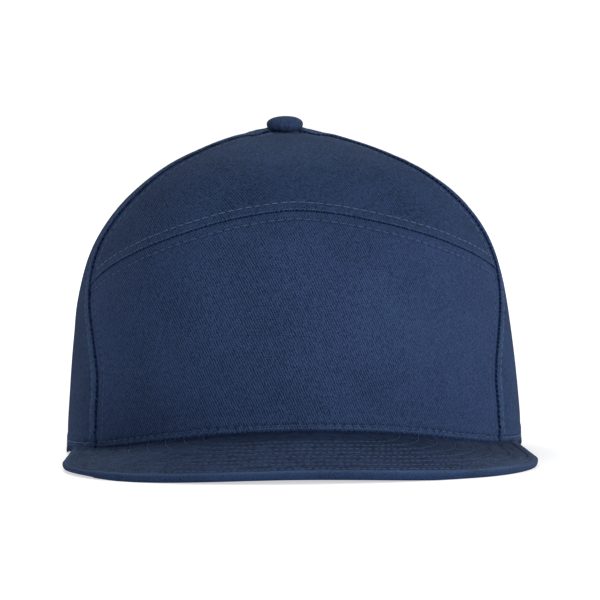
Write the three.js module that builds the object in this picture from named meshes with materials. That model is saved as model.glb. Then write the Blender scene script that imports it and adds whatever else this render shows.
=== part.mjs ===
// Flat bill cap: a crown of six sewn cloth panels, a flat covered board as its bill, a cloth
// covered button on top and a sweatband inside the rim.
//
// Sizes are in millimetres. The bill points to -Y, +X is the wearer's left and +Z is up. The cap
// rests on the plane z = 0, on the bill's two sides and on the rim behind them. The crown is
// worked out about its own middle, and the whole cap is then moved so that the middle of its
// length lies over the origin.
//
// A place on the crown is named by an angle, 0 at the front and 180 degrees at the back, and by
// its share of the crown's height, 0 at the rim and 1 under the button.

import * as THREE from 'three';

const { clamp, degToRad, lerp, smoothstep } = THREE.MathUtils;

// Crown
const CROWN_HALF_WIDTH = 92;
const CROWN_FRONT_DEPTH = 100;
const CROWN_BACK_DEPTH = 102;
const CROWN_HEIGHT = 129;
const RIM_SQUARENESS = 2.15; // 2 would be an ellipse
const WALL = 1.5;

// How the crown draws in on its way up: taper is the share of its width that is lost evenly,
// roundness and fullness shape the turn from the wall to the top.
const MERIDIANS = {
  front: { taper: 0.08, roundness: 1.7, fullness: 3.7 },
  side: { taper: 0.113, roundness: 1.55, fullness: 5.1 },
  back: { taper: 0.2, roundness: 1.7, fullness: 2.6 },
};

// Seams between panels, as angles from the front: straight up from the rim to one share of the
// height, then swinging to the shoulder of the crown, and from there to the button.
const SEAMS = {
  side: { rimAngle: 58.3, shoulderAngle: 72.5, topAngle: 66, straightTo: 0.18, shoulder: 0.62 },
  back: { rimAngle: 119, shoulderAngle: 121, topAngle: 122, straightTo: 0.18, shoulder: 0.62 },
  centreBack: { rimAngle: 180, shoulderAngle: 180, topAngle: 180, straightTo: 0.18, shoulder: 0.62 },
};

// The arched seam between the two front panels, highest in the middle.
const ARCH = { middleShare: 0.724, endShare: 0.532, curve: 1.52 };

// Bill
const BILL_LENGTH = 70;
const BILL_HALF_WIDTH = 91.2;
const BILL_WIDEST_Y = -85;
const BILL_SQUARENESS = 2.33;
const BILL_THICKNESS = 3.1;
const BILL_ROOT_RISE = 10.4; // arch of the crown's edge of the bill, above its ends
const BILL_EDGE_RISE = 1.8; // arch of its front edge
const BILL_EDGE_ARCH_HALF_WIDTH = 70;
const BILL_END_ANGLE = 79; // where the bill's ends meet the crown

// Behind the bill's ends the rim comes down to the table over this angle.
const RIM_DROP_ANGLE = 12;

// Button
const BUTTON_RADIUS = 7.3;
const BUTTON_HEIGHT = 6.3;
const BUTTON_EDGE_HEIGHT = 1.4;
const BUTTON_FACE_RADIUS = 6.7; // underside, where it meets the crown
const STEM_RADIUS = 3.2;
const STEM_LENGTH = 3.2;
const STEM_HEAD_RADIUS = 5.6;
const STEM_HEAD_THICKNESS = 1;
const HOLE_RADIUS = 4;

// Sweatband
const BAND_THICKNESS = 1;
const BAND_HEIGHT = 32;
const BAND_LIFT = 1; // its lower edge above the rim

// Clearance between pieces that are sewn together
const GAP = 0.3;

// Facets of each piece
const FACETS = {
  frontPanel: { across: 28, up: 12 },
  upperFrontPanel: { across: 28, up: 9 },
  sidePanel: { across: 12, up: 18 },
  backPanel: { across: 12, up: 18 },
  bill: { across: 32, out: 6 },
  button: { round: 20, dome: 6 },
  sweatband: { across: 72, up: 2 },
};

const CLOTH_ROUGHNESS = 0.9;

const COLOURS = {
  front: '#2d3b5b',
  top: '#26354f',
  side: '#28364f',
  bill: '#29374f',
  button: '#2a3854',
  band: '#222d45',
};

function signedPower(value, exponent) {
  return Math.sign(value) * Math.abs(value) ** exponent;
}

// Bill top at its root, where the crown stands on it.
function rootHeight(angle) {
  const way = clamp(Math.abs(angle) / degToRad(BILL_END_ANGLE), 0, 1);
  return BILL_THICKNESS + BILL_ROOT_RISE * Math.cos(way * Math.PI / 2) ** 2;
}

// Lower edge of the crown: on the bill at the front, on the table behind its ends.
function rimHeight(angle) {
  const end = degToRad(BILL_END_ANGLE);
  const drop = smoothstep(Math.abs(angle), end, end + degToRad(RIM_DROP_ANGLE));
  return (rootHeight(angle) + GAP) * (1 - drop);
}

function rimPoint(angle) {
  const depth = Math.cos(angle) > 0 ? CROWN_FRONT_DEPTH : CROWN_BACK_DEPTH;
  const power = 2 / RIM_SQUARENESS;
  return new THREE.Vector2(
    CROWN_HALF_WIDTH * signedPower(Math.sin(angle), power),
    -depth * signedPower(Math.cos(angle), power),
  );
}

function meridian(angle) {
  const facing = Math.cos(angle) > 0 ? MERIDIANS.front : MERIDIANS.back;
  const weight = Math.cos(angle) ** 2;
  return {
    taper: lerp(MERIDIANS.side.taper, facing.taper, weight),
    roundness: lerp(MERIDIANS.side.roundness, facing.roundness, weight),
    fullness: lerp(MERIDIANS.side.fullness, facing.fullness, weight),
  };
}

// Outer face of the crown.
function crownPoint(angle, share) {
  const { taper, roundness, fullness } = meridian(angle);
  const rest = Math.max(1 - share ** fullness, 0);
  const reach = (1 - taper * share) * rest ** (1 / roundness);
  const rim = rimPoint(angle).multiplyScalar(reach);
  const base = rimHeight(angle);
  return new THREE.Vector3(rim.x, rim.y, lerp(base, CROWN_HEIGHT, share));
}

// Share of the height where the crown reaches the hole for the button's stem.
function holeShare(angle) {
  const { taper, roundness, fullness } = meridian(angle);
  const reach = HOLE_RADIUS / (rimPoint(angle).length() * (1 - taper));
  return (1 - reach ** roundness) ** (1 / fullness);
}

// Steps along the crown, for each radian of angle and for each whole share of height.
function crownSteps(angle, share) {
  const step = 1e-4;
  const along = crownPoint(angle + step, share).sub(crownPoint(angle - step, share));
  const up = crownPoint(angle, share + step).sub(crownPoint(angle, Math.max(share - step, 0)));
  const rise = share < step ? share + step : 2 * step;
  return { along: along.divideScalar(2 * step), up: up.divideScalar(rise) };
}

// A place under the outer face. The wall's lower edge is cut level, so its depth runs level there.
function underCrown(angle, share, depth) {
  const { along, up } = crownSteps(angle, share);
  const outward = along.cross(up).normalize();
  const levelShare = 0.1;
  outward.z *= smoothstep(share, 0, levelShare);
  outward.normalize();
  return crownPoint(angle, share).addScaledVector(outward, -depth);
}

// A flat sheet bent to a form: place gives the point for each share of the sheet's width, height
// and thickness, the last from its face to its back.
function bentSheet(across, up, place) {
  const sheet = new THREE.BoxGeometry(1, 1, 1, across, up, 1);
  const corner = sheet.getAttribute('position');
  for (let i = 0; i < corner.count; i += 1) {
    const u = Math.round((corner.getX(i) + 0.5) * across) / across;
    const v = Math.round((corner.getY(i) + 0.5) * up) / up;
    const depth = 0.5 - corner.getZ(i);
    const point = place(u, v, depth);
    corner.setXYZ(i, point.x, point.y, point.z);
  }
  sheet.computeVertexNormals();
  return sheet;
}

function seamAngle(seam, share) {
  const out = smoothstep(share, seam.straightTo, seam.shoulder);
  const back = smoothstep(share, seam.shoulder, 1);
  const lower = lerp(seam.rimAngle, seam.shoulderAngle, out);
  return degToRad(lerp(lower, seam.topAngle, back));
}

// Half a seam's clearance, as an angle and as a share of height.
function seamClearance(angle, share) {
  const { along, up } = crownSteps(angle, share);
  return { angle: GAP / 2 / along.length(), share: GAP / 2 / up.length() };
}

// Rows of facets are set closer in height as the crown turns flat towards the button.
function climb(from, to, way) {
  return Math.sin(lerp(Math.asin(from), Math.asin(to), way));
}

function archShare(way) {
  return ARCH.middleShare - (ARCH.middleShare - ARCH.endShare) * Math.abs(way) ** ARCH.curve;
}

function lowerFrontPanel() {
  const { across, up } = FACETS.frontPanel;
  return bentSheet(across, up, (u, v, depth) => {
    const way = 2 * u - 1;
    const archAngle = way * seamAngle(SEAMS.side, archShare(way));
    const top = archShare(way) - seamClearance(archAngle, archShare(way)).share;
    const share = climb(0, top, v);
    const edge = seamAngle(SEAMS.side, share);
    const angle = way * (edge - seamClearance(edge, share).angle);
    return underCrown(angle, share, depth * WALL);
  });
}

function upperFrontPanel() {
  const { across, up } = FACETS.upperFrontPanel;
  return bentSheet(across, up, (u, v, depth) => {
    const way = 2 * u - 1;
    const archAngle = way * seamAngle(SEAMS.side, archShare(way));
    const bottom = archShare(way) + seamClearance(archAngle, archShare(way)).share;
    const share = climb(bottom, holeShare(archAngle), v);
    const edge = seamAngle(SEAMS.side, share);
    const angle = way * (edge - seamClearance(edge, share).angle);
    return underCrown(angle, share, depth * WALL);
  });
}

// A panel between two seams, on the wearer's left for side 1 and on the right for side -1.
function panelBetween(frontSeam, rearSeam, side, facets) {
  return bentSheet(facets.across, facets.up, (u, v, depth) => {
    const way = side > 0 ? u : 1 - u;
    const middle = lerp(seamAngle(frontSeam, 1), seamAngle(rearSeam, 1), way);
    const share = climb(0, holeShare(middle), v);
    const front = seamAngle(frontSeam, share);
    const rear = seamAngle(rearSeam, share);
    const from = front + seamClearance(front, share).angle;
    const to = rear - seamClearance(rear, share).angle;
    return underCrown(side * lerp(from, to, way), share, depth * WALL);
  });
}

// The bill is ruled from its root, under the crown's wall, to its outer edge.
function billSheet() {
  const { across, out } = FACETS.bill;
  const power = 2 / BILL_SQUARENESS;
  const frontY = -(CROWN_FRONT_DEPTH + BILL_LENGTH);
  return bentSheet(across, out, (u, v, depth) => {
    const way = 2 * u - 1;
    const rootAngle = way * degToRad(BILL_END_ANGLE);
    const root = rimPoint(rootAngle).multiplyScalar(1 - WALL / CROWN_HALF_WIDTH);
    const edgeAngle = way * Math.PI / 2;
    const edgeX = BILL_HALF_WIDTH * signedPower(Math.sin(edgeAngle), power);
    const edgeY = lerp(BILL_WIDEST_Y, frontY, signedPower(Math.max(Math.cos(edgeAngle), 0), power));
    const archWay = clamp(Math.abs(edgeX) / BILL_EDGE_ARCH_HALF_WIDTH, 0, 1);
    const edgeTop = BILL_THICKNESS + BILL_EDGE_RISE * Math.cos(archWay * Math.PI / 2) ** 2;
    const top = lerp(rootHeight(rootAngle), edgeTop, v);
    return new THREE.Vector3(
      lerp(root.x, edgeX, v),
      lerp(root.y, edgeY, v),
      top - (1 - depth) * BILL_THICKNESS,
    );
  });
}

// A strip round the inside of the rim, whose ends meet at the centre back.
function sweatbandStrip() {
  const { across, up } = FACETS.sweatband;
  const face = WALL + GAP;
  return bentSheet(across, up, (u, v, depth) => {
    const end = Math.PI - GAP / CROWN_HALF_WIDTH;
    const angle = lerp(-end, end, u);
    const wallHeight = CROWN_HEIGHT - rimHeight(angle);
    const share = lerp(BAND_LIFT, BAND_LIFT + BAND_HEIGHT, v) / wallHeight;
    return underCrown(angle, share, face + depth * BAND_THICKNESS);
  });
}

// The button is one round body: a dome over the crown, a stem through its hole and a flat head
// that holds it from the inside. Heights are measured from the crown's top.
function buttonBody() {
  const { round, dome } = FACETS.button;
  const headTop = -STEM_LENGTH + STEM_HEAD_THICKNESS;
  const outline = [
    new THREE.Vector2(0, -STEM_LENGTH),
    new THREE.Vector2(STEM_HEAD_RADIUS, -STEM_LENGTH),
    new THREE.Vector2(STEM_HEAD_RADIUS, headTop),
    new THREE.Vector2(STEM_RADIUS, headTop),
    new THREE.Vector2(STEM_RADIUS, GAP),
    new THREE.Vector2(BUTTON_FACE_RADIUS, 0),
  ];
  for (let i = 0; i <= dome; i += 1) {
    const turn = i / dome * Math.PI / 2;
    const radius = i < dome ? BUTTON_RADIUS * Math.cos(turn) ** 0.8 : 0;
    const height = lerp(BUTTON_EDGE_HEIGHT, BUTTON_HEIGHT, Math.sin(turn));
    outline.push(new THREE.Vector2(radius, height));
  }
  return new THREE.LatheGeometry(outline, round).rotateX(Math.PI / 2);
}

function cloth(colour) {
  return new THREE.MeshStandardMaterial({ color: colour, roughness: CLOTH_ROUGHNESS, metalness: 0 });
}

function piece(name, geometry, colour) {
  const mesh = new THREE.Mesh(geometry, cloth(colour));
  mesh.name = name;
  return mesh;
}

const crown = new THREE.Group();
crown.add(piece('front_panel', lowerFrontPanel(), COLOURS.front));
crown.add(piece('upper_front_panel', upperFrontPanel(), COLOURS.top));
for (const { hand, side } of [{ hand: 'left', side: 1 }, { hand: 'right', side: -1 }]) {
  const sidePanel = panelBetween(SEAMS.side, SEAMS.back, side, FACETS.sidePanel);
  const backPanel = panelBetween(SEAMS.back, SEAMS.centreBack, side, FACETS.backPanel);
  crown.add(piece(`side_panel_${hand}`, sidePanel, COLOURS.side));
  crown.add(piece(`back_panel_${hand}`, backPanel, COLOURS.side));
}

const button = piece('button', buttonBody(), COLOURS.button);
button.position.z = CROWN_HEIGHT;
crown.add(button);

const cap = new THREE.Group();
cap.add(crown);
cap.add(piece('bill', billSheet(), COLOURS.bill));
cap.add(piece('sweatband', sweatbandStrip(), COLOURS.band));

// The cap's length runs from the bill's front to the crown's back.
cap.position.y = (CROWN_FRONT_DEPTH + BILL_LENGTH - CROWN_BACK_DEPTH) / 2;

export default cap;
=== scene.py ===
import math

import bpy
import numpy as np
from mathutils import Matrix, Vector, noise
from mathutils.bvhtree import BVHTree


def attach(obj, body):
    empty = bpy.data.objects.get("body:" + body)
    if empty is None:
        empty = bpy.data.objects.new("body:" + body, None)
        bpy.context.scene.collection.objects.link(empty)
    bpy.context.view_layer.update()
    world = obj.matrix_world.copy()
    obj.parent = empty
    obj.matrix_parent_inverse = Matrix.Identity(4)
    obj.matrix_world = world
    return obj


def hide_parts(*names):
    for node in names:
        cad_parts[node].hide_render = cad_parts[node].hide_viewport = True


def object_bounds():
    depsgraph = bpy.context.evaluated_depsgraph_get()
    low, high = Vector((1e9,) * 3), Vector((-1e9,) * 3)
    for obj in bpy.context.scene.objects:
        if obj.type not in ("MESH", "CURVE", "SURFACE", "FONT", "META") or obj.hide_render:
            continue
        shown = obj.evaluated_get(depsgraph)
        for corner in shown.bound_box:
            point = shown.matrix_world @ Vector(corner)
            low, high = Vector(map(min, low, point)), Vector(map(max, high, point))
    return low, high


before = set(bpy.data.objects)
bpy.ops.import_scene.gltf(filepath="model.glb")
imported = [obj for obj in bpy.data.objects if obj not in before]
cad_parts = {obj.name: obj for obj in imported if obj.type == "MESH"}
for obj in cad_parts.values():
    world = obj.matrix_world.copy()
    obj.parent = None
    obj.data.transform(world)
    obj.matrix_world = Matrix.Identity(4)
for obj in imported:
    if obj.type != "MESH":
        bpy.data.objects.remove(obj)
cad_box = [list(corner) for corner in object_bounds()]


# Lower front panel: one wide piece of stiffened cotton twill from side seam to side seam. Its
# lower edge is turned under and sewn over the root of the bill, its upper edge is the arched seam.
# A place on the crown is an angle from the front and a share of the crown's height.
crown_half_width = 0.092
crown_front_depth = 0.100
crown_back_depth = 0.102
crown_height = 0.129
crown_middle_y = cad_box[1][1] - crown_back_depth
rim_squareness = 2.15
wall = 0.0015
front_meridian = (0.08, 1.7, 3.7)
side_meridian = (0.113, 1.55, 5.1)
back_meridian = (0.2, 1.7, 2.6)
straight_share = 0.18
shoulder_share = 0.62
side_seam = (58.3, 72.5, 66.0)
arch_middle_share = 0.724
arch_end_share = 0.532
arch_curve = 1.52
arch_skew = 0.016
button_hole_radius = 0.004

bill_thickness = 0.0031
bill_root_rise = 0.0104
bill_end_angle = math.radians(79)
rim_drop_angle = math.radians(12)
rim_gap = 0.0003

top_lean = 0.0019
lean_steps = (
    # the shares of the height where a part of the lean starts and is full, and how much it is
    (0.8, 1, 0.75),
    (0.5, 0.85, 0.25),
)
seam_gap = 0.00005
layer_end = (0.0049, 0.0072)
topstitch_reach = 0.0042
topstitch_pitch = 0.00345
topstitch_depth = 0.00022
topstitch_width = 0.0006
rim_row_height = 0.0027
row_shade = 0.6
row_shade_reach = 0.0014
rim_fold = 0.0006
rim_pull = 0.0005
rim_pull_end = (0.001, 0.014)
hem_layers = 0.0003
hem_layer_end = (0.006, 0.008)
# Painted shade under the hem's fold, and a painted highlight on the hem's lip: their strengths and reaches.
hem_shade = 0.85
hem_shade_end = (0.0004, 0.0014)
hem_lip_highlight = 0.4
hem_lip_place = 0.0019
hem_lip_width = 0.0005
button_seat_reach = 0.011
button_seat_fade = 1.9
button_seat_tilt = 0.22
button_seat_side_tilt = 0.03
button_seat_dip = 0.0020
button_seat_rise = 0.0009
top_dip = 0.0006
top_dip_start = (0.86, 0.93)
top_dip_end = (0.975, 0.995)
crest_front = (0.05, 0.4)
flank = (0.5, 0.95)
shoulder_sags = (
    # side, and the shares of the height where the sag starts, is full, starts to fade and is gone
    (-1, -1.00, -0.50, 0.36, 0.46, 0.00045),
    (-1, 0.58, 0.75, 0.85, 0.97, 0.0006),
    (1, 0.35, 0.60, 0.68, 0.85, -0.0004),
    (1, 0.74, 0.87, 0.960, 0.990, 0.0001),
)
broad_wave_size = 0.05
broad_wave_depth = 0.0004
small_wave_size = 0.016
small_wave_depth = 0.0002
deepest_fold = 0.0012
# How far a seam's painted shade spreads, how high and wide a lip stands, where raised layers are lightened,
# partly as wear and partly as a painted highlight, and where painted sheen lightens the top.
ditch_spread = 0.95
lip_height = 0.00018
lip_spread = 0.4
ridge_layers = (0.0001, 0.0007)
ridge_wear_and_highlight = 0.4
painted_sheen_top = (0.8, 1)
tuck_rise = 0.0065
tuck_reach = 0.012
tuck_height = 0.0003
tuck_width = 0.0009
edge_lines = (0, 0.0001, 0.00025, 0.00045, 0.0007, 0.001, 0.00135)
edge_line_step = 0.0004
edge_band = 0.0085
cloth_line_step = 0.0015
crease_angle = math.radians(50)
level_wall = (0, 0.1)


def smoothstep(value, low, high):
    share = np.clip((value - low) / (high - low), 0, 1)
    return share * share * (3 - 2 * share)


def signed_power(value, exponent):
    return np.sign(value) * np.abs(value) ** exponent


def unit(vectors):
    return vectors / np.linalg.norm(vectors, axis=1)[:, None]


def run_length(path):
    """How far along a path each of its points lies."""
    return np.concatenate([[0], np.cumsum(np.linalg.norm(np.diff(path, axis=0), axis=1))])


def bill_root_height(angle):
    way = np.clip(np.abs(angle) / bill_end_angle, 0, 1)
    return bill_thickness + bill_root_rise * np.cos(way * np.pi / 2) ** 2


def rim_height(angle):
    drop = smoothstep(np.abs(angle), bill_end_angle, bill_end_angle + rim_drop_angle)
    return (bill_root_height(angle) + rim_gap) * (1 - drop)


def rim_place(angle):
    depth = np.where(np.cos(angle) > 0, crown_front_depth, crown_back_depth)
    power = 2 / rim_squareness
    x = crown_half_width * signed_power(np.sin(angle), power)
    return x, -depth * signed_power(np.cos(angle), power)


def meridian(angle):
    """Taper, roundness and fullness of the crown's curve from the rim to the button."""
    weight = np.cos(angle) ** 2
    facing = np.where(np.cos(angle) > 0, np.array([front_meridian]).T, np.array([back_meridian]).T)
    return np.array([side_meridian]).T * (1 - weight) + facing * weight


def crown_form(angle, share):
    angle, share = np.broadcast_arrays(np.asarray(angle, float), np.asarray(share, float))
    angle, share = np.atleast_1d(angle), np.atleast_1d(share)
    taper, roundness, fullness = meridian(angle)
    reach = (1 - taper * share) * np.maximum(1 - share ** fullness, 0) ** (1 / roundness)
    x, y = rim_place(angle)
    base = rim_height(angle)
    lean = top_lean * sum(smoothstep(share, start, full) * part for start, full, part in lean_steps)
    return np.stack([x * reach - lean, y * reach + crown_middle_y, base + (crown_height - base) * share], -1)


def crown_steps(angle, share):
    """The crown's slope along the angle and along the share, and its outward normal."""
    step = 1e-5
    low = np.maximum(share - step, 0)
    along = (crown_form(angle + step, share) - crown_form(angle - step, share)) / (2 * step)
    up = (crown_form(angle, share + step) - crown_form(angle, low)) / (share + step - low)[:, None]
    return along, up, unit(np.cross(along, up))


def seam_angle(seam, share):
    rim_degrees, shoulder_degrees, top_degrees = seam
    out = smoothstep(share, straight_share, shoulder_share)
    back = smoothstep(share, shoulder_share, 1)
    lower = rim_degrees + (shoulder_degrees - rim_degrees) * out
    return np.radians(lower + (top_degrees - lower) * back)


def arch_share(way):
    arch = arch_middle_share - (arch_middle_share - arch_end_share) * np.abs(way) ** arch_curve
    return arch + arch_skew * way ** 3


def hole_share(angle):
    taper, roundness, fullness = meridian(angle)
    x, y = rim_place(angle)
    reach = button_hole_radius / (np.hypot(x, y) * (1 - taper))
    return (1 - reach ** roundness) ** (1 / fullness)


def climb(low, high, way):
    return np.sin(np.arcsin(low) + (np.arcsin(high) - np.arcsin(low)) * way)


def angle_inside(seam, share):
    """The angle of a panel's edge, half a seam's clearance short of the seam."""
    angle = seam_angle(seam, share)
    along = crown_steps(angle, share)[0]
    return angle, seam_gap / 2 / np.linalg.norm(along, axis=1)


def lower_front_place(across, up):
    way = 2 * across - 1
    share = climb(0, arch_share(way) - seam_gap / 2 / crown_height, up)
    edge, clearance = angle_inside(side_seam, share)
    return way * (edge - clearance), share


def seam_line(angle, share, fold, pitch):
    """A seam on the crown: its run, how round its folds are and how closely it is sewn."""
    points = crown_form(angle, share)
    return dict(angle=angle, share=share, points=points, length=run_length(points), fold=fold, pitch=pitch)


seam_samples = 700
arch_fold = 0.0005
side_fold = 0.00055
front_sewing_pitch = 0.0020
top_share = float(hole_share(np.array([math.radians(side_seam[2])]))[0])
whole_height = climb(0, top_share, np.linspace(0, 1, seam_samples))
across_front = np.linspace(-1, 1, seam_samples)
arch_height = arch_share(across_front)
arch_angle = across_front * seam_angle(side_seam, arch_height)
arch_seam = seam_line(arch_angle, arch_height, arch_fold, front_sewing_pitch)


def whole_seam(side, seam, fold, pitch):
    """A seam that runs from the rim to the button."""
    return seam_line(side * seam_angle(seam, whole_height), whole_height, fold, pitch)


left_side_seam = whole_seam(1, side_seam, side_fold, front_sewing_pitch)
right_side_seam = whole_seam(-1, side_seam, side_fold, front_sewing_pitch)


def distance_to(line, points):
    """How far each point lies from a line, and how far along the line that is."""
    path = line["points"]
    distance, along = np.empty((2, len(points)))
    batch = 4000
    for start in range(0, len(points), batch):
        part = points[start:start + batch]
        gaps = ((part[:, None, :] - path[None, :, :]) ** 2).sum(2)
        near = np.clip(gaps.argmin(1), 1, len(path) - 2)
        run = unit(path[near + 1] - path[near - 1])
        offset = part - path[near]
        step = (offset * run).sum(1)
        distance[start:start + batch] = np.linalg.norm(offset - step[:, None] * run, axis=1)
        along[start:start + batch] = line["length"][near] + step
    return distance, along


def groove(distance, place, depth, width):
    return -depth * np.exp(-((distance - place) / width) ** 2)


def fold(distance, radius):
    """The round of a turned edge, down into the seam."""
    inside = radius - np.minimum(distance, radius)
    return np.sqrt(np.maximum(radius ** 2 - inside ** 2, 0)) - radius


def undulation(points, size, depth):
    return np.array([noise.noise(Vector(point) / size) for point in points]) * depth


def crown_relief(points, share, seams):
    """How far the cloth stands off the plain form, and the marks that its seams leave in it. Among them
    are painted shade in the seams, beside the stitch rows and under the hem, painted highlights on lips,
    wear and painted highlight together on raised layers, and painted sheen towards the top.

    Each seam comes with the height of the turned edges that lie under this side of it, how far
    from it the cloth stands up in a lip, and how strong a painted highlight that lip gets."""
    angle = np.arctan2(points[:, 0], crown_middle_y - points[:, 1])
    rise = share * (crown_height - rim_height(angle))
    lift = undulation(points, broad_wave_size, broad_wave_depth)
    lift += undulation(points * (1, 1, 0.4) + 3, small_wave_size, small_wave_depth)
    layers, painted_shade, row, beads, gathers, lip, worn = np.zeros((7, len(points)))
    for seam, seam_layers, lip_place, lip_highlight_strength in seams:
        distance, along = distance_to(seam, points)
        ridge = 1 - smoothstep(distance, *layer_end)
        layers = np.maximum(layers, ridge * seam_layers)
        lift += fold(distance, seam["fold"])
        lift += groove(distance, topstitch_reach, topstitch_depth, topstitch_width)
        # A lip that stands up beside the seam gets a painted highlight.
        if lip_place:
            stand = np.exp(-((distance - lip_place) / (lip_place * lip_spread)) ** 2)
            lip = np.maximum(lip, stand)
            worn = np.maximum(worn, stand * lip_highlight_strength)
        # Down in the seam's fold the cloth gets painted shade.
        in_ditch = 1 - smoothstep(distance, 0, seam["fold"] * ditch_spread)
        beads = np.where(in_ditch >= painted_shade, along / seam["pitch"], beads)
        painted_shade = np.maximum(painted_shade, in_ditch)
        # Beside the row of topstitching the cloth gets painted shade, darkest between the stitches.
        in_row = row_shade - row_shade * smoothstep(np.abs(distance - topstitch_reach), 0, row_shade_reach)
        gathers = np.where(in_row >= row, along / topstitch_pitch, gathers)
        row = np.maximum(row, in_row)
        tuck = (rise - tuck_rise * (1 - distance / tuck_reach)) / tuck_width
        lift += tuck_height * np.exp(-tuck ** 2) * (distance < tuck_reach)
    layers = np.maximum(layers, (1 - smoothstep(rise, *hem_layer_end)) * hem_layers)
    lift += fold(rise, rim_fold) + groove(rise, rim_row_height, topstitch_depth, topstitch_width)
    lift -= rim_pull * (1 - smoothstep(rise, *rim_pull_end))
    # The row round the rim gets the same painted shade.
    in_row = 1 - smoothstep(np.abs(rise - rim_row_height), 0, row_shade_reach)
    gathers = np.where(in_row >= row, angle * crown_half_width / topstitch_pitch, gathers)
    row = np.maximum(row, in_row)
    # Painted shade under the hem's fold, and a painted highlight on the hem's lip.
    painted_shade = np.maximum(painted_shade, hem_shade * (1 - smoothstep(rise, *hem_shade_end)))
    worn = np.maximum(worn, hem_lip_highlight * np.exp(-((rise - hem_lip_place) / hem_lip_width) ** 2))
    behind = points[:, 1] - crown_middle_y
    to_button = np.hypot(points[:, 0] + top_lean, behind)
    seat = 1 - smoothstep(to_button, button_seat_reach, button_seat_reach * button_seat_fade)
    tilt = np.clip(button_seat_tilt * behind, -button_seat_dip, button_seat_rise)
    lift += (tilt - button_seat_side_tilt * np.clip(points[:, 0], 0, button_seat_reach)) * seat
    for side, start, full, fading, gone, depth in shoulder_sags:
        sag = depth * smoothstep(share, start, full) * (1 - smoothstep(share, fading, gone))
        lift -= sag * smoothstep(side * np.sin(angle), *flank)
    top = smoothstep(share, *top_dip_start) * (1 - smoothstep(share, *top_dip_end))
    lift -= top_dip * smoothstep(np.cos(angle), *crest_front) * top
    marks = {"painted_shade": painted_shade, "row": row, "beads": beads, "gathers": gathers, "lip": worn * (1 - painted_shade)}
    # Raised layers are lightened, partly as wear and partly as a painted highlight.
    marks["ridge"] = smoothstep(layers, *ridge_layers) * ridge_wear_and_highlight * (1 - painted_shade)
    # Painted sheen lightens the crown towards the top.
    marks["painted_sheen"] = smoothstep(share, *painted_sheen_top)
    return np.maximum(lift + layers + lip * lip_height, -deepest_fold), marks


def cloth_lines(length, start_band, end_band):
    """Where the lines of a cloth's mesh lie along a length, close together beside a sewn edge."""
    band = list(edge_lines) + list(np.arange(edge_lines[-1] + edge_line_step, edge_band, edge_line_step))
    start = band if start_band else [0]
    end = [length - place for place in reversed(band)] if end_band else [length]
    middle = end[0] - start[-1]
    count = max(int(round(middle / cloth_line_step)), 2)
    inner = [start[-1] + middle * i / count for i in range(1, count)]
    return np.array(start + inner + end) / length


def points_of(piece):
    flat = np.empty(len(piece.data.vertices) * 3)
    piece.data.vertices.foreach_get("co", flat)
    return flat.reshape(-1, 3)


def put_points(piece, points):
    piece.data.vertices.foreach_set("co", points.ravel())


def flat_cloth(name, columns, rows):
    """A flat grid of cloth whose mesh lines lie at the given shares of its width and height."""
    bpy.ops.mesh.primitive_grid_add(x_subdivisions=len(columns) - 1, y_subdivisions=len(rows) - 1, size=1)
    cloth = bpy.context.object
    cloth.name = name
    cloth.data.name = name
    flat = points_of(cloth)
    column = np.round((flat[:, 0] + 0.5) * (len(columns) - 1)).astype(int)
    row = np.round((flat[:, 1] + 0.5) * (len(rows) - 1)).astype(int)
    return cloth, column, row


def give_uv(cloth, uv):
    corners = np.empty(len(cloth.data.loops), int)
    cloth.data.loops.foreach_get("vertex_index", corners)
    cloth.data.uv_layers[0].data.foreach_set("uv", uv[corners].astype(np.float32).ravel())


def give_attribute(cloth, name, values):
    layer = cloth.data.attributes.new(name, "FLOAT", "POINT")
    layer.data.foreach_set("value", values.astype(np.float32))


def run_modifier(piece, kind, **settings):
    modifier = piece.modifiers.new(kind.title(), kind)
    for name, value in settings.items():
        setattr(modifier, name, value)
    bpy.context.view_layer.objects.active = piece
    bpy.ops.object.modifier_apply(modifier=modifier.name)


def cloth_uv(points, column, row, columns, rows):
    """Where each point lies on the flat cloth, in metres, from its middle column and first row."""
    grid = np.empty((len(rows), len(columns), 3))
    grid[row, column] = points
    middle = len(columns) // 2
    side_steps = np.linalg.norm(np.diff(grid, axis=1), axis=2)
    run = np.concatenate([np.zeros((len(rows), 1)), np.cumsum(side_steps, axis=1)], axis=1)
    run -= run[:, middle:middle + 1]
    return np.stack([run[row, column], run_length(grid[:, middle])[row]], -1)


def crown_panel(name, place, width, height, bands, seams, material):
    """A panel of the crown: a grid of cloth laid on the crown's form and given its wall.

    The bands say whether its first and last rows lie closer together, as beside a sewn edge."""
    columns = cloth_lines(width, True, True)
    rows = cloth_lines(height, *bands)
    panel, column, row = flat_cloth(name, columns, rows)
    angle, share = place(columns[column], rows[row])
    form = crown_form(angle, share)
    outward = crown_steps(angle, share)[2]
    lift, marks = crown_relief(form, share, seams)
    face = form + outward * lift[:, None]
    face[:, 2] = np.maximum(face[:, 2], 0)
    level = outward.copy()
    level[:, 2] *= smoothstep(share, *level_wall)
    back = form - unit(level) * wall
    put_points(panel, face)
    give_uv(panel, cloth_uv(form, column, row, columns, rows))
    for mark, values in marks.items():
        give_attribute(panel, mark, values)
    run_modifier(panel, "SOLIDIFY", thickness=wall, offset=-1)
    put_points(panel, np.concatenate([face, back]))
    panel.data.update()
    bpy.ops.object.shade_smooth_by_angle(angle=crease_angle)
    panel.data.materials.append(material)
    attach(panel, "root")
    return panel


def new_material(name):
    material = bpy.data.materials.new(name)
    material.use_nodes = True
    nodes = material.node_tree.nodes
    return material, nodes, nodes["Principled BSDF"]


def feed(socket, value):
    """Gives a socket its value, or links it to another node's output."""
    if isinstance(value, bpy.types.NodeSocket):
        socket.id_data.links.new(value, socket)
    else:
        socket.default_value = value


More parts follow.
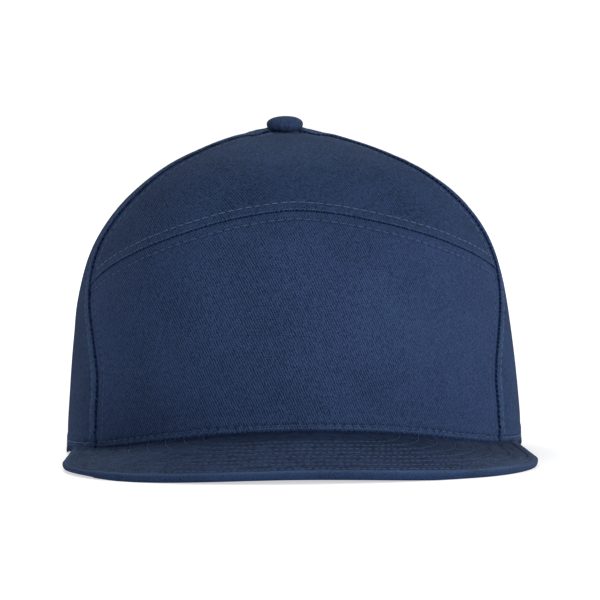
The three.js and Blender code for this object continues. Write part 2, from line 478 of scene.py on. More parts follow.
def set_sockets(node, **sockets):
    """Feeds a node's sockets. An underscore in a socket's name stands for a space."""
    for name, value in sockets.items():
        feed(node.inputs[name.replace("_", " ")], value)
    return node


def new_node(nodes, kind, **sockets):
    return set_sockets(nodes.new(f"ShaderNode{kind}"), **sockets)


wale_turn, yarn_turn = -23, 50
yarn_share = 0.8
weave_waviness = 2.4
middle_weave = 0.45
fibre_size, patch_size = 0.0005, 0.025
# Tints for painted shade in the seams and beside stitch rows, for raised layers lightened by wear and a
# painted highlight, and for painted highlights on lips.
seam_shade_tint, gather_shade_tint = (0.22, 0.29, 0.48), (0.5, 0.55, 0.65)
ridge_wear_and_highlight_tint, lip_highlight_tint = (1.6, 1.55, 1.4), (2.4, 2.2, 1.9)
pucker_depth = 0.0006


def twill(
    name, colour, wale=0.0009, relief=0.00018, contrast=0.6, sheen=0.012, fleck=0.001, ribs=0.58, even=False,
    painted_sheen_tint=(1.55, 1.4, 1.22),
):
    """Cotton twill: steep diagonal wales over fine yarns, with painted shade in the seams and where marked,
    painted highlights on lips, ridges lightened by wear and a painted highlight, and painted sheen where
    marked.

    The flecks and most of the ribs of an even twill show only where its nap is marked."""
    material, nodes, shader = new_material(name)
    set_sockets(shader, Roughness=0.92, Specular_IOR_Level=0.04)
    set_sockets(shader, Sheen_Weight=sheen, Sheen_Roughness=0.45, Sheen_Tint=(0.78, 0.8, 0.84, 1))
    place = new_node(nodes, "TexCoord")

    def calculated(operation, *values):
        node = new_node(nodes, "Math")
        node.operation = operation
        for socket, value in zip(node.inputs, values):
            feed(socket, value)
        return node.outputs["Value"]

    def wave(turn, pitch, distortion):
        turned = new_node(nodes, "Mapping", Vector=place.outputs["UV"], Rotation=(0, 0, math.radians(turn)))
        pattern = new_node(
            nodes, "TexWave", Vector=turned.outputs["Vector"], Scale=math.pi / 10 / pitch,
            Distortion=distortion, Detail=2, Detail_Scale=1.5,
        )
        return pattern.outputs["Fac"]

    def speckle(size, detail):
        vector = place.outputs["Object"]
        return new_node(nodes, "TexNoise", Vector=vector, Scale=1 / size, Detail=detail).outputs["Fac"]

    def mark(attribute):
        node = new_node(nodes, "Attribute")
        node.attribute_name = attribute
        return node.outputs["Fac"]

    def beat(phase):
        turn = calculated("SINE", calculated("MULTIPLY", phase, math.tau))
        return calculated("MULTIPLY_ADD", turn, 0.5, 0.5)

    def shaded(surface, weight, shift):
        blend = new_node(nodes, "Mix")
        blend.data_type = "RGBA"
        blend.blend_type = "MULTIPLY"
        return set_sockets(blend, Factor=weight, A=surface, B=(*shift, 1)).outputs["Result"]

    wales = wave(wale_turn, wale, weave_waviness)
    yarns = wave(yarn_turn, wale * yarn_share, weave_waviness)
    fibres = speckle(fibre_size, 3)
    flecks = speckle(fleck, 2)
    patches = speckle(patch_size, 4)
    weave = calculated("MULTIPLY", wales, calculated("MULTIPLY_ADD", yarns, 1.0, 0.4))
    if even:
        flecks = calculated("MULTIPLY_ADD", calculated("SUBTRACT", flecks, 0.5), mark("nap"), 0.5)
        shown = calculated("MULTIPLY_ADD", mark("nap"), 0.6, 0.4)
        weave = calculated("MULTIPLY_ADD", calculated("SUBTRACT", weave, middle_weave), shown, middle_weave)
    else:
        flecks = calculated("MULTIPLY_ADD", flecks, 0.75, 0.125)
    grain = calculated("MULTIPLY_ADD", fibres, 0.75, flecks)
    tone = calculated("MULTIPLY_ADD", weave, ribs, grain)
    tone = calculated("MULTIPLY_ADD", patches, 0.35, tone)
    tone = calculated("SUBTRACT", tone, 0.54 + ribs * middle_weave)
    ramp = new_node(nodes, "ValToRGB", Fac=tone)
    ramp.color_ramp.elements[0].position = 0.15
    ramp.color_ramp.elements[1].position = 0.80
    ramp.color_ramp.elements[0].color = (*[part * (1 - contrast) for part in colour], 1)
    ramp.color_ramp.elements[1].color = (*[part * (1 + contrast) for part in colour], 1)
    # Painted shade in the seams' ditches, darker in dashes at the joining stitches, and beside each stitch
    # row, darkest between the stitches.
    pinch = calculated("MULTIPLY", mark("painted_shade"), beat(mark("beads")))
    gather = calculated("MULTIPLY", mark("row"), beat(mark("gathers")))
    dark = calculated("MULTIPLY_ADD", pinch, 0.45, calculated("MULTIPLY", mark("painted_shade"), 0.5))
    surface = shaded(ramp.outputs["Color"], dark, seam_shade_tint)
    surface = shaded(surface, gather, gather_shade_tint)
    # Painted highlights: on raised layers, where they also stand for wear, and in dashes on the lips.
    surface = shaded(surface, mark("ridge"), ridge_wear_and_highlight_tint)
    lip_beat = calculated("MULTIPLY_ADD", beat(mark("beads")), 0.5, 0.5)
    surface = shaded(surface, calculated("MULTIPLY", mark("lip"), lip_beat), lip_highlight_tint)
    # Painted sheen towards the crown's top and the bill's ends.
    surface = shaded(surface, mark("painted_sheen"), painted_sheen_tint)
    pull = calculated("ADD", calculated("MULTIPLY", pinch, -1.0), calculated("MULTIPLY", gather, -0.3))
    puckers = new_node(nodes, "Bump", Distance=pucker_depth, Strength=0.9, Height=pull).outputs["Normal"]
    grain = calculated("MULTIPLY_ADD", weave, 0.7, grain)
    bump = new_node(nodes, "Bump", Distance=relief, Strength=1.0, Height=grain, Normal=puckers)
    set_sockets(shader, Base_Color=surface, Normal=bump.outputs["Normal"])
    return material


front_twill = twill("front twill", (0.0255, 0.0460, 0.110))
front_panel = crown_panel(
    "front_panel_cloth", lower_front_place, width=0.205, height=0.085, bands=(True, True),
    seams=((left_side_seam, 0.0001, 0, 0), (right_side_seam, 0.0001, 0, 0), (arch_seam, 0.0001, 0, 0)),
    material=front_twill,
)
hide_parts("front_panel")


# Upper front panel: the crescent between the arched seam and the button. The crown's twill that it
# shares with the side and back panels is the front panel's navy, given a darker colour as painted
# shade. Its lower edge is turned and stands up a little beside the seam to the panel below.
crown_twill = twill(
    "crown twill", (0.0198, 0.0385, 0.092), contrast=0.74, sheen=0.015, fleck=0.0012, ribs=0.42,
)


def upper_front_place(across, up):
    way = 2 * across - 1
    low = arch_share(way)
    share = climb(low + seam_gap / 2 / crown_height, hole_share(way * seam_angle(side_seam, low)), up)
    edge, clearance = angle_inside(side_seam, share)
    return way * (edge - clearance), share


upper_front_panel = crown_panel(
    "upper_front_panel_cloth", upper_front_place, width=0.190, height=0.095, bands=(True, False),
    seams=(
        (left_side_seam, 0.0001, 0, 0),
        (right_side_seam, 0.0001, 0, 0),
        (arch_seam, 0.00035, 0.0005, 0.9),
    ),
    material=crown_twill,
)
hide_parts("upper_front_panel")


# Side and back panels: two on each side, sewn to the front panels, to each other and to their
# twins at the centre back, all of the crown's twill and running up to a point under the button.
back_seam = (119.0, 121.0, 122.0)
centre_back_seam = (180.0, 180.0, 180.0)


def panel_between(front, rear, side):
    top_front, top_rear = math.radians(front[2]), math.radians(rear[2])

    def place(across, up):
        way = across if side > 0 else 1 - across
        share = climb(0, hole_share(top_front + (top_rear - top_front) * way), up)
        start, start_clearance = angle_inside(front, share)
        end, end_clearance = angle_inside(rear, share)
        low, high = start + start_clearance, end - end_clearance
        return side * (low + (high - low) * way), share

    return place


rear_fold = 0.0007
rear_sewing_pitch = 0.0022
hands = (
    ("left", 1, left_side_seam, whole_seam(1, back_seam, rear_fold, rear_sewing_pitch)),
    ("right", -1, right_side_seam, whole_seam(-1, back_seam, rear_fold, rear_sewing_pitch)),
)
centre_seam = whole_seam(1, centre_back_seam, rear_fold, rear_sewing_pitch)
crown_panels = {"front_panel": front_panel, "upper_front_panel": upper_front_panel}
for hand, side, side_line, back_line in hands:
    side_lines = ((side_line, 0.0009, 0.0022, 0.15), (back_line, 0.0003, 0, 0))
    back_lines = ((back_line, 0.0004, 0, 0), (centre_seam, 0.0003, 0, 0))
    for part, front, rear, lines in (
        ("side_panel", side_seam, back_seam, side_lines),
        ("back_panel", back_seam, centre_back_seam, back_lines),
    ):
        node = f"{part}_{hand}"
        panel = crown_panel(
            f"{node}_cloth", panel_between(front, rear, side), width=0.105, height=0.185,
            bands=(True, False), seams=lines, material=crown_twill,
        )
        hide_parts(node)
        crown_panels[node] = panel


# Crown stitching, of twisted thread: a row of topstitching on each side of every seam, one round
# the lower edge, and the joining stitches that show as small dashes down in the seams.
thread_radius = 0.00022
joining_radius = 0.00016
stitch_unevenness = 0.00005
topstitch_length = 0.0029
joining_length = 0.0015
row_end_radius = 0.0095
row_gap = 0.02
rim_row_gap = 1
joining_sink = 0.6
joining_depth = 0.0001
stitch_point = 0.75
stitch_seed = 5
twist_per_metre = 1800


def thread(name, colour):
    """Twisted polyester thread with a soft gloss."""
    material, nodes, shader = new_material(name)
    place = new_node(nodes, "TexCoord")
    twist = new_node(nodes, "TexNoise", Vector=place.outputs["Object"], Scale=twist_per_metre).outputs["Fac"]
    ramp = new_node(nodes, "ValToRGB", Fac=twist)
    ramp.color_ramp.elements[0].color = (*[part * 0.6 for part in colour], 1)
    ramp.color_ramp.elements[1].color = (*[part * 1.5 for part in colour], 1)
    bump = new_node(nodes, "Bump", Distance=0.0001, Height=twist)
    set_sockets(shader, Roughness=0.6, Specular_IOR_Level=0.2)
    set_sockets(shader, Base_Color=ramp.outputs["Color"], Normal=bump.outputs["Normal"])
    return material


def surface_of(piece):
    """A quick way to find the nearest place on a piece's own mesh."""
    points = [vertex.co.copy() for vertex in piece.data.vertices]
    faces = [tuple(face.vertices) for face in piece.data.polygons]
    return BVHTree.FromPolygons(points, faces)


def beside(line, distance, low=0, high=1):
    """Points on the crown at a distance from a seam, to the left of its run."""
    angle, share, points = line["angle"], line["share"], line["points"]
    along, up, outward = crown_steps(angle, share)
    step = np.cross(outward, unit(np.gradient(points, axis=0))) * distance
    aa, ab, bb = (along * along).sum(1), (along * up).sum(1), (up * up).sum(1)
    sa, sb = (along * step).sum(1), (up * step).sum(1)
    frame_size = aa * bb - ab * ab
    turned = angle + (sa * bb - sb * ab) / frame_size
    risen = np.clip(share + (sb * aa - sa * ab) / frame_size, 0.0005, 0.9995)
    keep = (share >= low) & (share <= high)
    return crown_form(turned[keep], risen[keep])


def stitch_places(path, pitch):
    """The middle and the direction of each stitch along a path."""
    length = run_length(path)
    middles = np.arange(pitch / 2, length[-1], pitch)

    def at(places):
        return np.stack([np.interp(places, length, path[:, axis]) for axis in range(3)], -1)

    return at(middles), at(middles + pitch / 4) - at(middles - pitch / 4)


def one_stitch():
    """A single stitch, pointed where it goes into the cloth, as corner points and faces."""
    bpy.ops.mesh.primitive_uv_sphere_add(segments=8, ring_count=6, radius=1, rotation=(0, math.pi / 2, 0))
    bead = bpy.context.object
    bpy.ops.object.transform_apply(rotation=True)
    points = np.array([vertex.co[:] for vertex in bead.data.vertices])
    points[:, 0] = signed_power(points[:, 0], stitch_point)
    faces = [tuple(face.vertices) for face in bead.data.polygons]
    mesh = bead.data
    bpy.data.objects.remove(bead)
    bpy.data.meshes.remove(mesh)
    return points, faces


stitch_points, stitch_faces = one_stitch()


def sew(name, rows, material):
    """Joins the stitches of many rows in one piece. A row holds its surface, path, sizes and height."""
    points, faces = [], []
    chance = np.random.default_rng(stitch_seed)
    for surface, path, length, pitch, radius, height in rows:
        spots, runs = stitch_places(path, pitch)
        for spot, run in zip(spots, runs):
            rest = height + chance.uniform(-stitch_unevenness, stitch_unevenness)
            near, normal = surface.find_nearest(Vector(spot))[:2]
            run = Vector(run).normalized()
            side = normal.cross(run).normalized()
            rise = run.cross(side).normalized()
            turn = np.array([run * (length / 2), side * radius, rise * radius])
            start = len(points) * len(stitch_points)
            points.append(stitch_points @ turn + np.array(near + rise * rest))
            faces.extend(tuple(corner + start for corner in face) for face in stitch_faces)
    corners = np.concatenate(points)
    corners[:, 2] = np.maximum(corners[:, 2], 0)
    mesh = bpy.data.meshes.new(name)
    mesh.from_pydata(corners.tolist(), [], faces)
    mesh.shade_smooth()
    stitches = bpy.data.objects.new(name, mesh)
    bpy.context.scene.collection.objects.link(stitches)
    stitches.data.materials.append(material)
    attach(stitches, "root")
    return stitches


topstitch_thread = thread("topstitch thread", (0.061, 0.098, 0.190))
front_thread = thread("front thread", (0.042, 0.071, 0.146))
joining_thread = thread("joining thread", (0.018, 0.032, 0.078))
surfaces = {node: surface_of(panel) for node, panel in crown_panels.items()}


def top_row(node, path, height=0):
    away = np.hypot(path[:, 0] + top_lean, path[:, 1] - crown_middle_y) > row_end_radius
    return surfaces[node], path[away], topstitch_length, topstitch_pitch, thread_radius, height


def rim_path(side, front_degrees, rear_degrees):
    degrees = np.linspace(front_degrees + rim_row_gap, rear_degrees - rim_row_gap, seam_samples)
    angle = side * np.radians(degrees)
    return crown_form(angle, rim_row_height / (crown_height - rim_height(angle)))


arch_inset = slice(18, -18)
whole_inset = slice(4, -30)
proud = 0.00008
crown_rows = [top_row("upper_front_panel", beside(arch_seam, topstitch_reach)[arch_inset], proud)]
front_rows = [
    top_row("front_panel", beside(arch_seam, -topstitch_reach)[arch_inset], proud),
    top_row("front_panel", rim_path(1, -side_seam[0], side_seam[0])),
]
for hand, side, side_line, back_line in hands:
    reach = side * topstitch_reach
    front_rows.append(top_row("front_panel", beside(side_line, reach, row_gap, arch_end_share - row_gap)))
    crown_rows += [
        top_row("upper_front_panel", beside(side_line, reach, arch_end_share + row_gap)),
        top_row(f"side_panel_{hand}", beside(side_line, -reach, row_gap)),
        top_row(f"side_panel_{hand}", beside(back_line, reach, row_gap)),
        top_row(f"back_panel_{hand}", beside(back_line, -reach, row_gap)),
        top_row(f"back_panel_{hand}", beside(centre_seam, reach, row_gap)),
        top_row(f"side_panel_{hand}", rim_path(side, side_seam[0], back_seam[0])),
        top_row(f"back_panel_{hand}", rim_path(side, back_seam[0], centre_back_seam[0])),
    ]
sew("crown_topstitching", crown_rows, topstitch_thread)
sew("front_topstitching", front_rows, front_thread)

joining_rows = []
for node, line, inset in (
    ("front_panel", arch_seam, slice(2, -2)),
    *((f"side_panel_{hand}", side_line, whole_inset) for hand, side, side_line, back_line in hands),
    *((f"side_panel_{hand}", back_line, whole_inset) for hand, side, side_line, back_line in hands),
    ("back_panel_left", centre_seam, whole_inset),
):
    outward = crown_steps(line["angle"], line["share"])[2]
    path = (line["points"] - outward * line["fold"] * joining_sink)[inset]
    joining_rows.append((surfaces[node], path, joining_length, line["pitch"], joining_radius, -joining_depth))
sew("joining_stitches", joining_rows, joining_thread)


# Bill: a flat board covered with twill above and below, its outer edge rounded by the cloth that
# wraps it. It is arched a little at its root, where the crown is sewn on and stands on it.
bill_length = 0.070
bill_half_width = 0.0912
bill_widest_y = -0.085
bill_squareness = 2.33
bill_edge_rise = 0.0018
bill_edge_arch_half_width = 0.070
bill_edge_round = 0.00145
bill_wrap = (0.0012, 0.0022)
bill_lower_side = (-0.05, 0.02)
bill_tip = (0.066, 0.088)
bill_end = (-0.062, 0.012)
bill_tip_rise = {-1: 0.0008, 1: 0}
bill_end_rise = {-1: 0.0018, 1: 0.0024}
bill_tip_pull = {-1: 0, 1: 0.0008}
bill_tip_undercut = {-1: 0.0005, 1: 0.0010}
bill_clearance = 0.0001
bill_edge_drop = 0.0010
bill_root_reach = 0.0034
bill_root_lift = 0.0007
bill_wave_size = 0.03
bill_wave_depth = 0.0001
# Where painted sheen lightens the bill towards its ends.
bill_painted_sheen = (0.04, 0.09)
bill_nap = 0.00014
bill_nap_size = 0.0045
bill_row_inset = 0.0045
bill_row_spacing = 0.007
bill_rows = 8
bill_stitch_length = 0.0018
bill_stitch_pitch = 0.0025
bill_stitch_stand = 0.00007
bill_thread_radius = 0.00017
bill_row_depth = 0.00012
bill_row_width = 0.0005
bill_puff = 0.00005
bill_evened_reach = 0.008
bill_evening_steps = 300


def edge_height(x):
    """The top of the bill's outer edge, which arches up a little in the middle."""
    arch = np.cos(np.clip(np.abs(x) / bill_edge_arch_half_width, 0, 1) * np.pi / 2) ** 2
    return bill_thickness + bill_edge_rise * arch


def rim_plan(points, scale=1):
    """Seen from above, less than one inside the crown's rim and more than one outside it."""
    across = np.abs(points[:, 0]) / (crown_half_width * scale)
    ahead = np.abs(points[:, 1] - crown_middle_y) / (crown_front_depth * scale)
    return across ** rim_squareness + ahead ** rim_squareness


def bill_sheet(across, out):
    """A point of the bill's top: across runs from end to end, out from the crown to the edge."""
    way = 2 * across - 1
    root_angle = way * bill_end_angle
    root_x, root_y = np.array(rim_place(root_angle)) * (1 - bill_root_reach / crown_half_width)
    power = 2 / bill_squareness
    turn = way * np.pi / 2
    front_y = -(crown_front_depth + bill_length)
    edge_x = bill_half_width * signed_power(np.sin(turn), power)
    edge_y = bill_widest_y + (front_y - bill_widest_y) * signed_power(np.maximum(np.cos(turn), 0), power)
    x = root_x + (edge_x - root_x) * out
    y = root_y + (edge_y - root_y) * out + crown_middle_y
    root_z = bill_root_height(root_angle)
    covered = bill_root_reach / np.hypot(edge_x - root_x, edge_y - root_y)
    fall = np.clip((out - covered) / (1 - covered), 0, 1)
    return np.stack([x, y, root_z + (edge_height(edge_x) - root_z) * fall], -1)


def wrapped_uv(points):
    """A flat pattern laid from above that still has its size where the cloth turns down at an edge."""
    return points[:, :2] + points[:, 2:] * np.array([0.9, -1.1])


def evened(points, edges, free, steps):
    """Draws the free points of a mesh between their neighbours, so that no face is folded over."""
    starts = np.concatenate([edges[:, 0], edges[:, 1]])
    ends = np.concatenate([edges[:, 1], edges[:, 0]])
    starts, ends = starts[free[starts]], ends[free[starts]]
    neighbours = np.bincount(starts, minlength=len(points))[free]
    for _ in range(steps):
        for axis in range(3):
            reached = np.bincount(starts, points[ends, axis], len(points))
            points[free, axis] = reached[free] / neighbours
    return points


edge_ways, end_ways = np.linspace(0, 1, 900), np.linspace(0, 1, 160)
bill_outline = np.concatenate([
    bill_sheet(end_ways * 0, end_ways)[:-1],
    bill_sheet(edge_ways, np.ones(len(edge_ways))),
    bill_sheet(np.ones(len(end_ways)), end_ways[::-1])[1:],
])
bill_outline[:, 2] = 0
flat_outline = {"points": bill_outline, "length": run_length(bill_outline)}

bill_border = 0.0018
bill_line_step = 0.00058
bill_first_column = 0.01
rule_count = int((bill_length - 2 * bill_border) / bill_line_step)
inner_lines = np.linspace(bill_border, bill_length - bill_border, rule_count)
rule_lines = np.concatenate([[0], inner_lines, [bill_length]]) / bill_length
bill_columns = np.concatenate([[0], np.linspace(bill_first_column, 1 - bill_first_column, 219), [1]])
bill_cover, column, row = flat_cloth("bill_cover", bill_columns, rule_lines[::-1])
top = bill_sheet(bill_columns[column], rule_lines[::-1][row])
put_points(bill_cover, top - np.array([0, 0, bill_thickness / 2]))
within = (column > 0) & (column < column.max()) & (row > 0) & (row < row.max())
give_attribute(bill_cover, "within", within)
run_modifier(bill_cover, "SOLIDIFY", thickness=bill_thickness, offset=0)
run_modifier(
    bill_cover, "BEVEL", width=bill_edge_round, segments=5, limit_method="ANGLE",
    angle_limit=crease_angle, use_clamp_overlap=False,
)
points = points_of(bill_cover)
level = np.array([1, 1, 0])
within = np.empty(len(points))
bill_cover.data.attributes["within"].data.foreach_get("value", within)
edges = np.empty(len(bill_cover.data.edges) * 2, int)
bill_cover.data.edges.foreach_get("vertices", edges)
free = (within > 0.5) & (distance_to(flat_outline, points * level)[0] < bill_evened_reach)
points = evened(points, edges.reshape(-1, 2), free, bill_evening_steps)
put_points(bill_cover, points)
bill_cover.data.update()
give_uv(bill_cover, wrapped_uv(points))
inset, along = distance_to(flat_outline, points * level)
normals = np.empty(len(points) * 3)
bill_cover.data.vertices.foreach_get("normal", normals)
facing = np.sign(np.round(normals.reshape(-1, 3)[:, 2], 1))
row_places = [bill_row_inset + i * bill_row_spacing for i in range(bill_rows)]
pull = sum(groove(inset, place, bill_row_depth, bill_row_width) for place in row_places)
puff = np.cos((inset - bill_row_inset) / bill_row_spacing * 2 * np.pi) * smoothstep(inset, 0.001, 0.004)
waves = undulation(points, bill_wave_size, bill_wave_depth)
relief = np.where(facing > 0, 1, 0.5) * (waves - bill_puff * puff)
relief += (facing > 0) * undulation(points, bill_nap_size, bill_nap)
down = np.clip((edge_height(points[:, 0]) - points[:, 2]) / bill_thickness, 0, 1)
beyond_crown = rim_plan(points) - 1
points[:, 2] += facing * (pull + relief) + bill_clearance
points[:, 2] += (facing > 0) * bill_root_lift * (1 - smoothstep(beyond_crown, 0, 0.08))
lowered = bill_edge_drop * (0.55 + 0.45 * smoothstep(points[:, 0], *bill_lower_side))
points[:, 2] -= lowered * down * (1 - smoothstep(inset, 0.001, 0.008))
for side in (-1, 1):
    tip = smoothstep(side * points[:, 0], *bill_tip)
    lower_edge = (1 - smoothstep(inset, 0, 0.006)) * (1 - points[:, 2] / bill_thickness)
    points[:, 2] += tip * lower_edge * bill_tip_rise[side]
    points[:, 2] += tip * smoothstep(points[:, 1], *bill_end) * bill_end_rise[side]
    points[:, 0] -= side * tip * (bill_tip_pull[side] + bill_tip_undercut[side] * down)
points[:, 2] = np.maximum(points[:, 2], 0)
put_points(bill_cover, points)
on_edge = 1 - smoothstep(inset, *bill_wrap)
# Painted shadow of the crown on the bill, along the root and wider across the middle.
crown_shadow = 0.8 * (1 - smoothstep(beyond_crown, 0, 0.1))
crown_shadow += 0.4 * (1 - smoothstep(beyond_crown, 0, 0.5)) * (1 - smoothstep(np.abs(points[:, 0]), 0.02, 0.07))
# Painted sheen, lighter towards the ends of the bill, more at the right end.
painted_sheen = smoothstep(points[:, 0], *bill_painted_sheen) + 0.7 * smoothstep(-points[:, 0], *bill_painted_sheen)
# The bill's marks: painted shade in the stitch grooves, a painted highlight along the top of the wrapped
# edge, painted shade darkening the edge towards its bottom together with the crown's painted shadow, the
# painted sheen, and where the nap shows.
for mark, values in (
    ("row", smoothstep(-pull, 0.00002, 0.0001)),
    ("gathers", along / bill_stitch_pitch),
    ("lip", on_edge * (1 - smoothstep(down, 0.06, 0.28))),
    ("painted_shade", np.clip(on_edge * 0.9 * smoothstep(down, 0.1, 1) + crown_shadow, 0, 1)),
    ("painted_sheen", painted_sheen * (1 - 0.7 * on_edge)),
    ("nap", smoothstep(facing, 0, 1) * (1 - on_edge)),
):
    give_attribute(bill_cover, mark, values)
bill_cover.data.update()
bpy.ops.object.shade_smooth_by_angle(angle=crease_angle)
bill_twill = twill(
    "bill twill", (0.0205, 0.0385, 0.089), wale=0.0007, contrast=0.75, sheen=0.014, fleck=0.003,
    ribs=0.48, even=True, painted_sheen_tint=(2.1, 1.75, 1.4),
)
bill_cover.data.materials.append(bill_twill)
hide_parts("bill")
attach(bill_cover, "root")


# Bill stitching: eight rows that follow the outer edge at an even spacing and run under the crown,
# sewn through the covers and the board, so that they show above and below.
def row_on_bill(inset, above):
    """A row's path at one distance inside the bill's outline, as far as the crown's edge."""
    run = unit(np.gradient(bill_outline, axis=0))
    inward = np.stack([-run[:, 1], run[:, 0], np.zeros(len(run))], -1)
    path = bill_outline + inward * inset
    clear = distance_to(flat_outline, path)[0] > inset - 0.0002
    ahead = path[:, 1] < crown_middle_y
    path = path[clear & ahead & (rim_plan(path, 1 - wall / crown_half_width) > 1.01)]
    height = 0.05 if above else -0.05
    drop = Vector((0, 0, -1 if above else 1))
    found = [bill_surface.ray_cast(Vector((x, y, height)), drop)[0] for x, y, _ in path]
    return np.array([place[:] for place in found if place is not None])


bill_surface = surface_of(bill_cover)
bill_stitch = (bill_stitch_length, bill_stitch_pitch, bill_thread_radius, bill_stitch_stand)
bill_stitch_rows = [
    (bill_surface, row_on_bill(place, above), *bill_stitch)
    for place in row_places
    for above in (True, False)
]
bill_thread = thread("bill thread", (0.052, 0.080, 0.148))
sew("bill_stitching", bill_stitch_rows, bill_thread)


# Button: a small metal shell covered with a circle of twill that is gathered under its edge. It is
# fixed by a short stem through the crown, with a flat head inside.
button_radius = 0.0073
button_height = 0.0052
button_tilt = math.radians(5)
button_edge_height = 0.0021
button_foot = -0.0012
button_arc = 0.0084
button_gathers = 13
button_gather_depth = 0.00016
button_sag = 0.00012
stem_radius = 0.0032
stem_length = 0.0032
stem_head_radius = 0.0056
stem_head_thickness = 0.001

bpy.ops.mesh.primitive_uv_sphere_add(segments=96, ring_count=48, radius=1)
button = bpy.context.object
button.name = "button_cover"
button.data.name = "button_cover"
ball = np.array([vertex.co[:] for vertex in button.data.vertices])
turn = np.arctan2(ball[:, 1], ball[:, 0])
flat = np.hypot(ball[:, 0], ball[:, 1])
upper = ball[:, 2] >= 0
radius = np.where(upper, flat ** 0.95, flat ** 0.6) * button_radius
height = np.where(
    upper,
    button_edge_height + (button_height - button_edge_height) * np.abs(ball[:, 2]),
    button_edge_height - (button_edge_height - button_foot) * np.abs(ball[:, 2]) ** 0.9,
)
gathers = np.sin(turn * button_gathers + 0.6 * np.sin(turn * 3)) * (1 - smoothstep(height, 0.0004, 0.0034))
radius = radius + button_gather_depth * gathers * smoothstep(radius, 0.004, 0.007)
sag = button_sag * np.sin(turn * 2 + 0.7) * smoothstep(radius, 0.001, 0.006)
shaped = np.stack([np.cos(turn) * radius, np.sin(turn) * radius, height + sag], -1)
shaped = shaped @ np.array(Matrix.Rotation(button_tilt, 3, "X")).T + (-top_lean, crown_middle_y, crown_height)
put_points(button, shaped)
arc = np.arccos(np.clip(ball[:, 2], -1, 1)) / (np.pi / 2) * button_arc
give_uv(button, np.stack([np.cos(turn) * arc, np.sin(turn) * arc], -1))
# Painted shade round the foot of the button, where it meets the crown.
give_attribute(button, "painted_shade", (1 - smoothstep(height, -0.0008, 0.0016)) * 0.8)
bpy.ops.object.shade_smooth()
button_twill = twill("button twill", (0.0265, 0.0480, 0.109), wale=0.0007, relief=0.0001, sheen=0.04)
button.data.materials.append(button_twill)
stem_metal, stem_nodes, stem_shader = new_material("stem metal")
stem_place = new_node(stem_nodes, "TexCoord").outputs["Object"]
scratches = new_node(stem_nodes, "TexNoise", Vector=stem_place, Scale=900).outputs["Fac"]
scratch_bump = new_node(stem_nodes, "Bump", Distance=0.00004, Height=scratches)
set_sockets(stem_shader, Base_Color=(0.32, 0.33, 0.35, 1), Metallic=0.9, Roughness=0.42)
set_sockets(stem_shader, Normal=scratch_bump.outputs["Normal"])
for name, radius, low, high in (
    ("button_stem", stem_radius, -stem_length + stem_head_thickness / 2, button_foot + 0.0004),
    ("button_stem_head", stem_head_radius, -stem_length, -stem_length + stem_head_thickness),
):
    bpy.ops.mesh.primitive_cylinder_add(
        vertices=48, radius=radius, depth=high - low,
        location=(-top_lean, crown_middle_y, crown_height + (low + high) / 2),
    )
    rod = bpy.context.object
    rod.name = name
    bpy.ops.object.transform_apply(location=True)
    run_modifier(rod, "BEVEL", width=0.0003, segments=3, limit_method="ANGLE")
    bpy.ops.object.shade_smooth_by_angle(angle=math.radians(40))
    rod.data.materials.append(stem_metal)
    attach(rod, "root")
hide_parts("button")
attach(button, "root")


# Sweatband: a strip of softer cotton sewn inside the rim with a row of stitches along both edges,
# which draw it in a little. Its ends meet at the centre back.
band_thickness = 0.001
band_height = 0.032
band_lift = 0.0004
band_face = wall + 0.0003
band_end_gap = 0.0003
band_row_inset = 0.003
band_row_depth = 0.0003
band_row_width = 0.0008
band_stitch = (0.0026, 0.0034, 0.00018, 0.00004)

band_columns = np.linspace(0, 1, 241)
band_rows = np.linspace(0, 1, 21)
band, column, row = flat_cloth("sweatband_strip", band_columns, band_rows)
band_angle = (2 * band_columns[column] - 1) * (math.pi - band_end_gap / crown_half_width)
band_rise = band_lift + band_height * band_rows[row]
band_share = band_rise / (crown_height - rim_height(band_angle))
band_form = crown_form(band_angle, band_share)
band_outward = crown_steps(band_angle, band_share)[2]
band_seams = (band_lift + band_row_inset, band_lift + band_height - band_row_inset)
seam_dip = sum(groove(band_rise, rise, band_row_depth, band_row_width) for rise in band_seams)
outer = band_form - band_outward * band_face
put_points(band, outer)
give_uv(band, cloth_uv(band_form, column, row, band_columns, band_rows))
# Painted shade in the sweatband's stitch grooves.
give_attribute(band, "row", smoothstep(-seam_dip, 0.0001, 0.0003))
run_modifier(band, "SOLIDIFY", thickness=band_thickness, offset=-1)
inner = band_form - band_outward * (band_face + band_thickness + seam_dip)[:, None]
strip = np.concatenate([outer, inner])
strip[:, 2] = np.maximum(strip[:, 2], 0)
put_points(band, strip)
band.data.update()
bpy.ops.object.shade_smooth_by_angle(angle=crease_angle)
band_cotton = twill("band cotton", (0.018, 0.031, 0.074), wale=0.0007, relief=0.0001)
band.data.materials.append(band_cotton)
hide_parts("sweatband")
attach(band, "root")

band_surface = surface_of(band)
band_stitch_rows = []
for rise in band_seams:
    angle = np.linspace(-3.1, 3.1, 1200)
    share = rise / (crown_height - rim_height(angle))
    path = crown_form(angle, share) - crown_steps(angle, share)[2] * (band_face + band_thickness)
    band_stitch_rows.append((band_surface, path, *band_stitch))
sew("sweatband_stitching", band_stitch_rows, bill_thread)


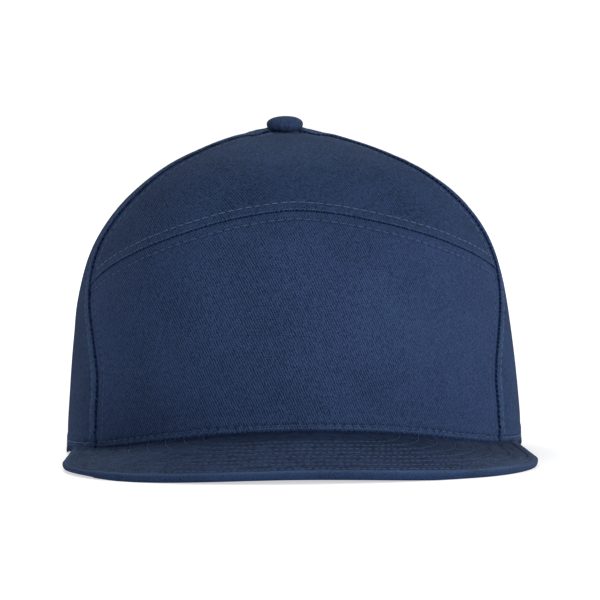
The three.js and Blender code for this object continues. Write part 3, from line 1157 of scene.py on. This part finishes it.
# Floor, light and camera: a pale table top lit a little from below, before a white wall. A large soft
# lamp stands on the right, a second in front and a third above and behind. The lens is a long one.
bpy.ops.mesh.primitive_plane_add(size=14, location=(0, 0, 0))
floor = bpy.context.object
floor.name = "floor"
paper, paper_nodes, paper_shader = new_material("pale floor")
paper_place = new_node(paper_nodes, "TexCoord").outputs["Object"]
paper_reach = new_node(paper_nodes, "VectorMath", Vector=paper_place)
paper_reach.operation = "LENGTH"
paper_glow = new_node(
    paper_nodes, "MapRange", Value=paper_reach.outputs["Value"], From_Min=0.5, From_Max=2.5,
    To_Min=0.58, To_Max=1.0,
)
set_sockets(paper_shader, Base_Color=(0.7, 0.7, 0.7, 1), Roughness=0.9)
set_sockets(paper_shader, Emission_Color=(1, 1, 1, 1), Emission_Strength=paper_glow.outputs["Result"])
floor.data.materials.append(paper)

# The room has a white wall all round, in shade on the left. Above that it is dim, and dimmer in
# front than behind.
wall_brightness = 1.06
left_wall_brightness = 0.55
ceiling_brightness = 0.30
ceiling_slope = (0.06, 0.23, 0)
wall_top = (0.08, 0.25)
left_wall = (-0.9, -0.3)
world = bpy.data.worlds.new("pale room")
bpy.context.scene.world = world
world.use_nodes = True
room = world.node_tree.nodes
direction = new_node(room, "TexCoord").outputs["Generated"]
across_ceiling = new_node(room, "VectorMath", Vector=direction)
across_ceiling.operation = "DOT_PRODUCT"
across_ceiling.inputs[1].default_value = ceiling_slope
ceiling = new_node(room, "Math", Value=across_ceiling.outputs["Value"])
ceiling.inputs[1].default_value = ceiling_brightness
seen = new_node(room, "SeparateXYZ", Vector=direction).outputs
along_wall = new_node(
    room, "MapRange", Value=seen["X"], From_Min=left_wall[0], From_Max=left_wall[1],
    To_Min=left_wall_brightness, To_Max=wall_brightness,
)
above_wall = new_node(
    room, "MapRange", Value=seen["Z"], From_Min=wall_top[0], From_Max=wall_top[1],
    To_Min=along_wall.outputs["Result"], To_Max=ceiling.outputs["Value"],
)
along_wall.interpolation_type = "SMOOTHSTEP"
above_wall.interpolation_type = "SMOOTHSTEP"
set_sockets(room["Background"], Color=(1, 1, 1, 1), Strength=above_wall.outputs["Result"])


def lamp(name, place, size, power):
    light = bpy.data.lights.new(name, "AREA")
    light.shape = "DISK"
    light.size = size
    light.energy = power
    lamp_object = bpy.data.objects.new(name, light)
    bpy.context.scene.collection.objects.link(lamp_object)
    lamp_object.location = place
    lamp_object.visible_camera = False
    aim = lamp_aim - Vector(place)
    lamp_object.rotation_euler = aim.to_track_quat("-Z", "Y").to_euler()


lamp_aim = Vector((0, 0, 0.07))
lamp("key lamp", (1.7, -1.4, 0.45), size=0.9, power=21)
lamp("front lamp", (0.3, -2.2, 0.8), size=0.9, power=13)
lamp("top lamp", (-0.5, 1.0, 2.0), size=0.9, power=20)

camera_distance = 1.6
camera_azimuth = math.radians(-2.0)
camera_elevation = math.radians(2.155)
camera_roll = math.radians(-0.636)
image_side = 600
pixels_per_metre = 2483
aim_pixel = (291.5, 300.4)
aim_point = Vector((0, crown_middle_y, 0.060))

camera_data = bpy.data.cameras.new("camera")
camera = bpy.data.objects.new("camera", camera_data)
bpy.context.scene.collection.objects.link(camera)
back = Vector((
    math.sin(camera_azimuth) * math.cos(camera_elevation),
    -math.cos(camera_azimuth) * math.cos(camera_elevation),
    math.sin(camera_elevation),
))
facing = (-back).to_track_quat("-Z", "Y").to_matrix().to_4x4() @ Matrix.Rotation(camera_roll, 4, "Z")
camera.matrix_world = Matrix.Translation(aim_point + back * camera_distance) @ facing
camera_data.sensor_width = 36
camera_data.lens = camera_data.sensor_width * pixels_per_metre * camera_distance / image_side
camera_data.shift_x = (image_side / 2 - aim_pixel[0]) / image_side
camera_data.shift_y = (aim_pixel[1] - image_side / 2) / image_side
camera_data.clip_start = 0.1
camera_data.clip_end = 100
bpy.context.scene.camera = camera
bpy.context.scene.view_settings.view_transform = "Standard"
